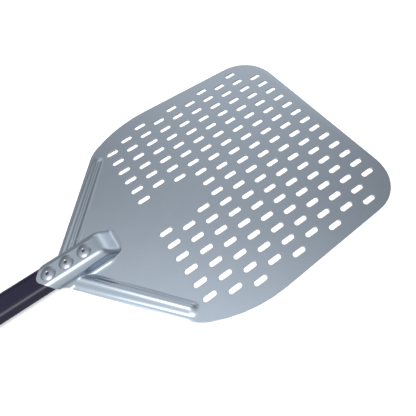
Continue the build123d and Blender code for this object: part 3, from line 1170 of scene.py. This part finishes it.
@dataclass
class HandleTube:
    """The flat-oval tube, open at both ends, drilled above for three rivets and below for one.

    Each end ring holds shares of the rounding: how far it is inside the outer face, or the
    inner one where it is negative, and how far it reaches past the last row.
    """

    name: str = "flat_oval_tube"
    node: str = "handle_tube"
    wall: float = 1.5
    rivet_hole: float = 4.9
    grip_rivet_hole: float = 4.1
    patch_half: float = 5.5
    patch_steps: int = 5
    arc_steps: int = 16
    longest_step: float = 14.0
    end_rounding: float = 0.3
    end_rings: tuple[tuple[float, float], ...] = ((0.3, 0.7), (1.0, 1.0), (-1.0, 1.0), (-0.3, 0.7))

    def __post_init__(self) -> None:
        """Take the tube's size and the rivets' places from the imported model."""
        self.low, self.high = in_millimetres(self.node)
        self.radius = (self.high[2] - self.low[2]) / 2
        self.flat = self.high[0] - self.radius
        self.centre_z = (self.high[2] + self.low[2]) / 2
        self.top_holes = self._middles("rivet_body")
        self.bottom_holes = self._middles("grip_rivet_body")

    @staticmethod
    def _middles(start: str) -> list[float]:
        """Places along the handle of the nodes whose names start so."""
        boxes = [in_millimetres(name) for name in sorted(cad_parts) if name.startswith(start)]
        return [float(low[1] + high[1]) / 2 for low, high in boxes]

    def _flat_stations(self) -> Array:
        """Places across the flat, with even steps over a hole's patch."""
        patch = np.linspace(-self.patch_half, self.patch_half, self.patch_steps + 1)
        return np.concatenate(([-self.flat], patch, [self.flat]))

    def _section(self, depth: float) -> Array:
        """Lay points round the tube's section.

        Args:
            depth: How far the points are inside its outer face.

        Returns:
            (x, z) from the tube's middle, clockwise from the top left.
        """
        across = self._flat_stations()
        radius = self.radius - depth
        arc = np.linspace(0.0, math.pi, self.arc_steps + 1)[1:-1]
        top = np.column_stack((across, np.full(len(across), radius)))
        side = np.column_stack((self.flat + radius * np.sin(arc), radius * np.cos(arc)))
        half = np.concatenate((top, side))
        return np.concatenate((half, -half))

    def _rows(self) -> Array:
        """Place the rows along the tube, with even steps over each hole's patch.

        Returns:
            Their places, from the rear end to the front.
        """
        patch = np.linspace(-self.patch_half, self.patch_half, self.patch_steps + 1)
        fixed = np.concatenate([y + patch for y in self.top_holes + self.bottom_holes])
        fixed = np.unique(np.concatenate((
            fixed, [self.low[1] + self.end_rounding, self.high[1] - self.end_rounding])))
        rows = [fixed[0]]
        for following in fixed[1:]:
            count = math.ceil((following - rows[-1]) / self.longest_step)
            rows += list(np.linspace(rows[-1], following, count + 1)[1:])
        return np.array(rows)

    def _wall_side(self, skin: Skin, depth: float, ys: Array) -> tuple[list[Array], list[Array]]:
        """Add the outer or the inner face.

        Args:
            skin: The skin that grows.
            depth: 0 for the outer face, and the wall for the inner one.
            ys: Places of the rows.

        Returns:
            Its rows, and the circles of its holes.
        """
        section = self._section(depth)
        rows = [skin.add(np.column_stack((section[:, 0], np.full(len(section), y),
                                          section[:, 1] + self.centre_z))) for y in ys]
        across = self.patch_steps + 1
        half = len(section) // 2
        holes = [(y, 1, self.rivet_hole) for y in self.top_holes]
        holes += [(y, half + 1, self.grip_rivet_hole) for y in self.bottom_holes]
        starts = {(int(np.argmin(np.abs(ys - (y - self.patch_half)))), first): (y, width)
                  for y, first, width in holes}
        left_out = {(i + di, first + dj) for i, first in starts
                    for di in range(self.patch_steps) for dj in range(self.patch_steps)}
        for i in range(len(rows) - 1):
            for j in range(len(section)):
                if (i, j) in left_out:
                    continue
                k = (j + 1) % len(section)
                face = (rows[i][j], rows[i][k], rows[i + 1][k], rows[i + 1][j])
                skin.faces.append(face[::-1] if depth else face)
        circles = []
        for (i, first), (y, width) in starts.items():
            last = first + across - 1
            end = i + across - 1
            border = [(i, j) for j in range(first, last)]
            border += [(n, last) for n in range(i, end)]
            border += [(end, j) for j in range(last, first, -1)]
            border += [(n, first) for n in range(end, i, -1)]
            ring = np.array([rows[n][j] for n, j in border])
            flat = np.array([(section[j, 0], ys[n] - y) for n, j in border])
            ways = flat / np.linalg.norm(flat, axis=1, keepdims=True)
            z = self.centre_z + section[first, 1]
            circle = skin.add(np.column_stack((
                ways[:, 0] * width / 2, y + ways[:, 1] * width / 2, np.full(len(ways), z))))
            inner, outer = (ring, circle) if depth else (circle, ring)
            skin.strip(inner[::-1], outer[::-1])
            circles.append(circle)
        return rows, circles

    def build(self, material: bpy.types.Material) -> bpy.types.Object:
        """Make the tube.

        Args:
            material: Its finish.

        Returns:
            The piece.
        """
        skin = Skin()
        ys = self._rows()
        outer, outer_circles = self._wall_side(skin, 0.0, ys)
        inner, inner_circles = self._wall_side(skin, self.wall, ys)
        for circle, within in zip(outer_circles, inner_circles):
            skin.strip(circle, within)
        for end, way in ((0, -1.0), (-1, 1.0)):
            rows = [outer[end]]
            for depth_share, reach_share in self.end_rings:
                depth = self.end_rounding * abs(depth_share)
                points = self._section(depth if depth_share > 0 else self.wall - depth)
                y = ys[end] + way * self.end_rounding * reach_share
                rows.append(skin.add(np.column_stack((
                    points[:, 0], np.full(len(points), y), points[:, 1] + self.centre_z)), rim=1.0))
            rows.append(inner[end])
            for row, following in zip(rows, rows[1:]):
                pair = (row, following) if way > 0 else (row[::-1], following[::-1])
                skin.strip(*pair)
        piece = skin.make(self.name, Shading.BY_ANGLE, 40.0)
        return settle(piece, material, "tube", self.node)


# ------------------------------------------------------------------ rivets

@dataclass
class BlindRivet:
    """A set blind rivet: its body, and the mandrel left in it. The seat is at height 0."""

    node: str
    diameter: float
    grip: float
    up: float
    bore_share: float = 0.56
    bore_gap: float = 0.05
    bulb_share: float = 1.45
    bulb_length_share: float = 0.8
    knob_share: float = 0.92
    knob_length_share: float = 0.4
    knob_land: float = 0.5
    tail_bevel: tuple[float, float] = (0.3, 0.2)
    break_dip: float = 0.02
    break_edge: float = 0.14
    pin_segments: int = 32

    @property
    def shank(self) -> float:
        """Radius of the shank."""
        return self.diameter / 2

    @property
    def tail(self) -> float:
        """Height of the blind end."""
        return -self.grip - self.diameter * self.bulb_length_share

    def seat(self, top: float) -> Array:
        """Find the seat.

        Args:
            top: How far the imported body's outer end stands above it.

        Returns:
            The seat's place.
        """
        low, high = in_millimetres(self.node)
        outer = high[2] if self.up > 0 else low[2]
        return np.array(((low[0] + high[0]) / 2, (low[1] + high[1]) / 2, outer - self.up * top))

    def shank_profile(self) -> list[tuple[float, float]]:
        """Draw the shank and its blind end.

        Returns:
            (radius, height) from the head's underside round the blind end to the bore's foot.
        """
        bulb = self.shank * self.bulb_share
        bore = self.shank * self.bore_share + self.bore_gap
        middle = (self.tail - self.grip) / 2
        round_over = bulb - self.shank
        bulge = arc_points((self.shank, middle), round_over, 60, -60, 5)
        tail_inset, tail_rise = self.tail_bevel
        return ([(self.shank, -0.1), (self.shank, -self.grip + 0.05), (bulb, -self.grip - 0.1)]
                + bulge + [(self.shank, self.tail + tail_rise),
                           (self.shank - tail_inset, self.tail), (bore, self.tail)])

    def mandrel(self, name: str, node: str, top: float,
                material: bpy.types.Material) -> bpy.types.Object:
        """Make the broken-off mandrel.

        Args:
            name: The piece's name.
            node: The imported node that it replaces.
            top: Height of the break above the seat.
            material: Its finish.

        Returns:
            The piece.
        """
        stem = self.shank * self.bore_share
        knob = self.shank * self.knob_share
        end = self.tail - self.diameter * self.knob_length_share
        profile = [(0.0, top), (stem * 0.45, top - 2 * self.break_dip),
                   (stem * 0.8, top - self.break_dip), (stem, top - self.break_edge),
                   (stem, self.tail), (knob, self.tail), (knob, self.tail - self.knob_land),
                   (stem, end), (0.0, end)]
        skin = lathe(profile, self.place, self.up, self.pin_segments)
        skin.rims[1] += 0.8
        piece = skin.make(name, Shading.BY_ANGLE, 30.0)
        return settle(piece, material, "mandrel", node)


@dataclass
class DomedRivet(BlindRivet):
    """One of the head's rivets, with a wide low dome and a dimple round its bore."""

    diameter: float = 4.8
    grip: float = 3.0
    up: float = 1.0
    flange_diameter: float = 16.0
    dome_height: float = 2.3
    edge_height: float = 0.6
    dome_power: float = 2.7
    rim_round: float = 0.3
    dimple_radius: float = 2.2
    dimple_depth: float = 0.5
    dimple_lip: float = 0.35
    dimple_round: float = 0.12
    mouth_bevel: float = 0.15
    dome_steps: int = 14
    segments: int = 72

    def __post_init__(self) -> None:
        """Find the seat."""
        self.place = self.seat(self.dome_height)

    def head_profile(self) -> list[tuple[float, float]]:
        """Draw the rivet's head.

        Returns:
            (radius, height) from the bore's mouth over the dome and back under the flange.
        """
        rim = self.flange_diameter / 2
        bore = self.shank * self.bore_share + self.bore_gap
        floor = self.dome_height - self.dimple_depth
        rise = self.dome_height - self.edge_height
        reaches = np.linspace(self.dimple_radius + self.dimple_lip, rim - self.rim_round,
                              self.dome_steps)
        dome = [(float(r), self.edge_height + rise * (1 - (float(r) / rim) ** self.dome_power))
                for r in reaches]
        rolled = arc_points((rim - self.rim_round, self.edge_height - 0.25),
                            self.rim_round, 60, -60, 6)
        lip_height = dome[0][1]
        bevel, soft = self.mouth_bevel, self.dimple_round
        return ([(bore, floor - bevel), (bore + bevel, floor), (self.dimple_radius - 0.25, floor),
                 (self.dimple_radius - 0.05, floor + soft), (self.dimple_radius, lip_height - soft),
                 (self.dimple_radius + soft, lip_height - 0.02)]
                + dome + rolled + [(rim - self.rim_round, 0.0), (self.shank + 0.1, 0.0)])

    def build(self, which: str, aluminium: bpy.types.Material,
              steel: bpy.types.Material) -> list[bpy.types.Object]:
        """Make the rivet's two pieces.

        Args:
            which: Which of the rivets it is, for the pieces' names.
            aluminium: The body's finish.
            steel: The mandrel's finish, whose darkened steel colour is painted shade of the bore.

        Returns:
            The body and the mandrel.
        """
        profile = self.head_profile() + self.shank_profile()
        skin = lathe(profile, self.place, self.up, self.segments)
        for number, (radius, height) in enumerate(profile):
            if height > 0 and radius > self.flange_diameter / 2 - self.rim_round - 0.01:
                skin.rims[number] += 0.9
        body = settle(skin.make("domed_rivet_" + which, Shading.BY_ANGLE, 50.0), aluminium,
                      "rivet", self.node)
        mandrel_node = self.node.replace("body", "mandrel")
        pin_top = float(in_millimetres(mandrel_node)[1][2]) - float(self.place[2])
        return [body, self.mandrel("rivet_pin_" + which, mandrel_node, pin_top, steel)]


@dataclass
class SunkRivet(BlindRivet):
    """The grip's rivet, countersunk in its underside."""

    diameter: float = 4.0
    grip: float = 3.7
    up: float = -1.0
    head_diameter: float = 7.6
    head_angle: float = 120.0
    mouth_bevel: float = 0.2
    edge_bevel: tuple[float, float] = (0.15, 0.12)

    def __post_init__(self) -> None:
        """Find the seat, which is the flat face of the head."""
        self.place = self.seat(0.0)

    def build(self, aluminium: bpy.types.Material,
              steel: bpy.types.Material) -> list[bpy.types.Object]:
        """Make the rivet's two pieces.

        Args:
            aluminium: The body's finish.
            steel: The mandrel's finish, whose darkened steel colour is painted shade of the bore.

        Returns:
            The body and the mandrel.
        """
        wide = self.head_diameter / 2
        depth = (wide - self.shank) / math.tan(math.radians(self.head_angle / 2))
        bore = self.shank * self.bore_share + self.bore_gap
        edge_inset, edge_fall = self.edge_bevel
        profile = [(bore, -self.mouth_bevel), (bore + self.mouth_bevel, 0.0),
                   (wide - edge_inset, 0.0), (wide, -edge_fall),
                   (self.shank + 0.05, -depth)] + self.shank_profile()[1:]
        body = settle(lathe(profile, self.place, self.up).make(
            "sunk_rivet", Shading.BY_ANGLE, 30.0), aluminium, "rivet", self.node)
        pin = self.mandrel("sunk_rivet_pin", "grip_rivet_mandrel", -0.05, steel)
        return [body, pin]


# ------------------------------------------------------------------ the end grip

@dataclass
class EndGrip:
    """The moulded grip: a sleeve over the tube, softly swelled, with a holed round end."""

    name: str = "moulded_grip"
    node: str = "end_grip"
    collar_length: float = 9.0
    collar_fall: float = 12.0
    waist_depth: float = 1.1
    waist_length: float = 48.0
    end_radius: float = 18.0
    lip_radius: float = 1.6
    socket_gap: float = 0.2
    end_clearance: float = 0.5
    parting_depth: float = 0.22
    parting_half: float = 0.35
    hole_diameter: float = 12.0
    hole_inset: float = 16.0
    hole_round: float = 1.9
    rivet_head: float = 7.6
    rivet_angle: float = 120.0
    rivet_sink: float = 0.3
    rivet_gap: float = 0.05
    rivet_hole: float = 4.1
    rivet_cut_depth: float = 4.0
    cut_past: float = 2.0
    mouth_chamfer: float = 0.35
    mouth_inset: float = 0.02
    section_steps: int = 18
    end_sections: int = 18
    sections: int = 44
    lip_sections: int = 6
    sharp_angle: float = 32.0

    def __post_init__(self) -> None:
        """Take the grip's and the tube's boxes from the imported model."""
        self.low, self.high = in_millimetres(self.node)
        self.tube_low, self.tube_high = in_millimetres("handle_tube")
        rivet_low, rivet_high = in_millimetres("grip_rivet_body")
        self.rivet_y = (rivet_low[1] + rivet_high[1]) / 2
        self.centre_z = (self.low[2] + self.high[2]) / 2

    def _oval(self, half_width: float, half_height: float) -> Array:
        """Draw a flat-oval section with a parting groove at each side.

        Args:
            half_width: Half its width.
            half_height: Half its height.

        Returns:
            (x, z) from its middle, anticlockwise from the lower right.
        """
        radius = min(half_height, half_width)
        flat = half_width - radius
        widest = math.pi / self.section_steps / 2
        groove = min(widest, self.parting_half / radius)
        side = np.linspace(0.0, math.pi / 2, self.section_steps // 2 + 1)[1:]
        angles = np.concatenate((-side[::-1], (-groove, 0.0, groove), side))
        depth = np.where(angles == 0.0, min(self.parting_depth, radius * 0.5), 0.0)
        right = np.column_stack((flat + (radius - depth) * np.cos(angles),
                                 (radius - depth) * np.sin(angles)))
        middle = np.array(((flat / 3, half_height), (-flat / 3, half_height)))
        return np.concatenate((right, middle, -right, -middle))

    def _slimming(self, behind_front: float) -> float:
        """Tell how much slimmer the grip is behind its collar, all round.

        Args:
            behind_front: Distance behind the grip's mouth.

        Returns:
            The depth of its waist there.
        """
        start = self.collar_length
        into = smooth_step(np.array(behind_front), start, start + self.collar_fall)
        out = smooth_step(np.array(behind_front), start + self.collar_fall,
                          start + self.collar_fall + self.waist_length)
        return float(self.waist_depth * into * (1.0 - out))

    def _outer_rows(self) -> list[tuple[float, float, float]]:
        """Size the outer sections.

        Returns:
            (y, half width, half height) of each, from the rear tip to the mouth.
        """
        half_width = (self.high[0] - self.low[0]) / 2
        half_height = (self.high[2] - self.low[2]) / 2
        rows = []
        for angle in np.radians(np.linspace(4.0, 90.0, self.end_sections)):
            behind = self.end_radius * (1 - math.cos(angle))
            height = math.sqrt(max(0.0, half_height ** 2 - max(0.0, half_height - behind) ** 2))
            rows.append((self.low[1] + behind, self.end_radius * math.sin(angle), height))
        for y in np.linspace(rows[-1][0], self.high[1] - self.lip_radius, self.sections)[1:]:
            slim = self._slimming(self.high[1] - y)
            rows.append((float(y), half_width - slim, half_height - slim))
        for angle in np.radians(np.linspace(0.0, 90.0, self.lip_sections + 1))[1:]:
            shrink = self.lip_radius * (1 - math.cos(angle))
            y = self.high[1] - self.lip_radius * (1 - math.sin(angle))
            rows.append((y, half_width - shrink, half_height - shrink))
        return rows

    def _body(self) -> bpy.types.Object:
        """Make the grip's body, before its holes are cut.

        Returns:
            The solid body with its socket.
        """
        skin = Skin()
        rows = []
        for y, half_width, half_height in self._outer_rows():
            rows.append(skin.add(self._standing(self._oval(half_width, half_height), y)))
        socket = (self.tube_high[0] + self.socket_gap,
                  (self.tube_high[2] - self.tube_low[2]) / 2 + self.socket_gap)
        socket_end = self.tube_low[1] - self.end_clearance
        for y, grow in ((self.high[1] - self.mouth_inset, self.mouth_chamfer),
                        (self.high[1] - self.mouth_chamfer, 0.0), (socket_end, 0.0)):
            section = self._oval(socket[0] + grow, socket[1] + grow)
            rows.append(skin.add(self._standing(section, y), rim=0.4 if grow else 0.0))
        tip = skin.add(np.array([[0.0, self.low[1], self.centre_z]]))[0]
        size = len(rows[0])
        skin.faces += [(rows[0][i], rows[0][(i + 1) % size], tip) for i in range(size)]
        for row, following in zip(rows, rows[1:]):
            skin.strip(row[::-1], following[::-1])
        skin.cap(rows[-1][::-1])
        return skin.make(self.name, Shading.BY_ANGLE, self.sharp_angle)

    def _standing(self, section: Array, y: float) -> Array:
        """Points of a section, stood up across the handle."""
        return np.column_stack((section[:, 0], np.full(len(section), y),
                                section[:, 1] + self.centre_z))

    def _hang_cutter(self) -> Skin:
        """Draw the cutter for the hanging hole, which flares out into both faces.

        Returns:
            The cutter's skin.
        """
        radius, flare = self.hole_diameter / 2, self.hole_round
        top, bottom = self.high[2], self.low[2]
        upper = arc_points((radius + flare, top - flare), flare, 180, 92, 9)
        lower = [(r, top + bottom - z) for r, z in reversed(upper)]
        past = self.cut_past
        profile = [(0.0, bottom - past), (lower[0][0], bottom - past), *lower, *upper,
                   (upper[-1][0], top + past), (0.0, top + past)]
        y = self.low[1] + self.hole_inset
        return lathe(profile[::-1], np.array((0.0, y, 0.0)), 1.0, 64)

    def _rivet_cutter(self) -> Skin:
        """Draw the cutter for the sunk rivet's hole in the underside.

        Returns:
            The cutter's skin.
        """
        wide = self.rivet_head / 2 + self.rivet_gap
        narrow = self.rivet_hole / 2
        depth = (wide - narrow) / math.tan(math.radians(self.rivet_angle / 2))
        top, bottom = self.rivet_cut_depth, -self.cut_past
        profile = [(0.0, top), (narrow, top), (narrow, self.rivet_sink + depth),
                   (wide, self.rivet_sink), (wide, bottom), (0.0, bottom)]
        return lathe(profile, np.array((0.0, self.rivet_y, self.low[2])), 1.0, 48)

    def build(self, material: bpy.types.Material) -> bpy.types.Object:
        """Make the grip.

        Args:
            material: Its finish.

        Returns:
            The piece.
        """
        body = self._body()
        for cutter_skin in (self._hang_cutter(), self._rivet_cutter()):
            cutter = cutter_skin.make("cutter", Shading.BY_ANGLE)
            cut = body.modifiers.new("cut", "BOOLEAN")
            cut.object = cutter
            cut.operation = "DIFFERENCE"
            cut.solver = "EXACT"
            graph = bpy.context.evaluated_depsgraph_get()
            whole = bpy.data.meshes.new_from_object(body.evaluated_get(graph))
            body.modifiers.clear()
            body.data = whole
            bpy.data.objects.remove(cutter)
        body.data.name = self.name
        body.data.set_sharp_from_angle(angle=math.radians(self.sharp_angle))
        return settle(body, material, "grip", self.node)


# ------------------------------------------------------------------ the studio

@dataclass(frozen=True)
class Softbox:
    """A square studio light that faces the object; glossy surfaces see the glows instead."""

    name: str
    direction: tuple[float, float, float]
    distance: float
    size: float
    power: float


@dataclass(frozen=True)
class Glow:
    """A wide soft patch of the studio's light, round one direction."""

    direction: tuple[float, float, float]
    edge_angle: float
    core_angle: float
    strength: float


@dataclass
class Studio:
    """Camera, floor and soft light."""

    eye: tuple[float, float, float] = (0.1735, -0.11667, 0.31366)
    back: tuple[float, float, float] = (0.4091, -0.1931, 0.8918)
    right: tuple[float, float, float] = (0.5673, 0.8194, -0.0828)
    lens: float = 25.78
    sensor: float = 36.0
    clip: tuple[float, float] = (0.01, 50.0)
    aim: tuple[float, float, float] = (0.0, -0.12, 0.0)
    ambient: float = 0.35
    glows: tuple[Glow, ...] = (
        Glow((0.24, -0.37, 0.90), 72.0, 8.0, 1.0),
        Glow((0.24, -0.37, 0.90), 24.0, 3.0, 3.4),
        Glow((-0.72, 0.55, 0.42), 48.0, 5.0, 0.55),
        Glow((-0.42, 0.88, -0.05), 36.0, 8.0, 0.75),
        Glow((0.95, -0.25, -0.10), 50.0, 10.0, 0.5),
        Glow((-0.75, -0.65, -0.15), 34.0, 5.0, 0.45))
    boxes: tuple[Softbox, ...] = (
        Softbox("overhead_softbox", (0.24, -0.37, 0.90), 1.1, 0.55, 3.0),
        Softbox("key_softbox", (-0.70, 0.45, 0.62), 1.4, 0.55, 4.0))
    floor_half: float = 6.0
    floor_gap: float = 0.0004
    floor_glow: float = 0.34
    floor_roughness: float = 0.9
    floor_specular: float = 0.1
    floor_colour: tuple[float, float, float, float] = (0.80, 0.81, 0.83, 1.0)

    def camera(self) -> bpy.types.Object:
        """Make the camera and give it to the scene.

        Returns:
            The camera.
        """
        data = bpy.data.cameras.new("camera")
        data.lens = self.lens
        data.sensor_width = self.sensor
        data.clip_start, data.clip_end = self.clip
        camera = bpy.data.objects.new("camera", data)
        back = Vector(self.back).normalized()
        up = back.cross(Vector(self.right)).normalized()
        turn = Matrix((up.cross(back), up, back)).transposed()
        camera.matrix_world = Matrix.Translation(self.eye) @ turn.to_4x4()
        bpy.context.scene.collection.objects.link(camera)
        bpy.context.scene.camera = camera
        return camera

    def floor(self) -> bpy.types.Object:
        """Make the pale floor, just under the object's lowest point.

        Returns:
            The floor.
        """
        half, z = self.floor_half, cad_box[0][2] - self.floor_gap
        mesh = bpy.data.meshes.new("floor")
        mesh.from_pydata([(-half, -half, z), (half, -half, z), (half, half, z), (-half, half, z)],
                         [], [(0, 1, 2, 3)])
        floor = bpy.data.objects.new("floor", mesh)
        bpy.context.scene.collection.objects.link(floor)
        material = bpy.data.materials.new("pale floor")
        material.use_nodes = True
        graph = Graph(material.node_tree)
        lit = graph.add("ShaderNodeBsdfPrincipled", {
            "Base Color": self.floor_colour, "Roughness": self.floor_roughness,
            "Specular IOR Level": self.floor_specular,
            "Emission Color": (1.0, 1.0, 1.0, 1.0), "Emission Strength": self.floor_glow})
        clear = graph.add("ShaderNodeBsdfTransparent")
        below = graph.add("ShaderNodeNewGeometry").outputs["Backfacing"]
        both = graph.add("ShaderNodeMixShader", {0: below, 1: lit.outputs[0], 2: clear.outputs[0]})
        graph.add("ShaderNodeOutputMaterial", {"Surface": both.outputs[0]})
        mesh.materials.append(material)
        floor.visible_glossy = False
        return floor

    def lights(self) -> None:
        """Hang the softboxes round the object."""
        aim = Vector(self.aim)
        for box in self.boxes:
            data = bpy.data.lights.new(box.name, "AREA")
            data.shape = "SQUARE"
            data.size = box.size
            data.energy = box.power
            light = bpy.data.objects.new(box.name, data)
            way = Vector(box.direction).normalized()
            light.location = aim + way * box.distance
            light.rotation_mode = "QUATERNION"
            light.rotation_quaternion = way.to_track_quat("Z", "Y")
            light.visible_glossy = False
            bpy.context.scene.collection.objects.link(light)

    def surroundings(self) -> None:
        """Light the room: dim walls, with wide soft glows where the diffusers hang."""
        world = bpy.data.worlds.new("studio")
        bpy.context.scene.world = world
        world.use_nodes = True
        graph = Graph(world.node_tree)
        way = graph.add("ShaderNodeTexCoord").outputs["Generated"]
        total: object = self.ambient
        for glow in self.glows:
            toward = tuple(Vector(glow.direction).normalized())
            facing = graph.add("ShaderNodeVectorMath", {0: way, 1: toward},
                               operation="DOT_PRODUCT").outputs["Value"]
            angle = graph.math("ARCCOSINE", facing)
            share = graph.range(angle, math.radians(glow.core_angle),
                                math.radians(glow.edge_angle), glow.strength, 0.0)
            total = graph.math("ADD", share, total)
        studio = graph.add("ShaderNodeBackground", {
            "Color": (1.0, 1.0, 1.0, 1.0), "Strength": total})
        plain = graph.add("ShaderNodeBackground", {
            "Color": (1.0, 1.0, 1.0, 1.0), "Strength": 1.0})
        seen = graph.add("ShaderNodeLightPath").outputs["Is Camera Ray"]
        both = graph.add("ShaderNodeMixShader", {
            0: seen, 1: studio.outputs[0], 2: plain.outputs[0]})
        graph.add("ShaderNodeOutputWorld", {"Surface": both.outputs[0]})

    def build(self) -> None:
        """Set up the whole studio."""
        scene = bpy.context.scene
        scene.view_settings.view_transform = "Standard"
        self.camera()
        self.floor()
        self.lights()
        self.surroundings()
        log.info("studio: %d lights", len(self.boxes))


# ------------------------------------------------------------------ everything


def main() -> None:
    """Build the studio, then each piece of the peel in order."""
    logging.basicConfig(level=logging.INFO, format="%(name)s: %(message)s")
    Studio().build()
    effects = Effects()
    aluminium, steel = RIVET_FINISH.material(effects), MANDREL_FINISH_WITH_PAINTED_SHADE.material(effects)
    HeadPlate().build(HEAD_FINISH.material(effects))
    HandleTube().build(TUBE_FINISH.material(effects))
    for which in ("rear", "middle", "front"):
        DomedRivet("rivet_body_" + which).build(which, aluminium, steel)
    EndGrip().build(GRIP_FINISH.material(effects))
    SunkRivet("grip_rivet_body").build(aluminium, steel)


if __name__ == "__main__":
    main()
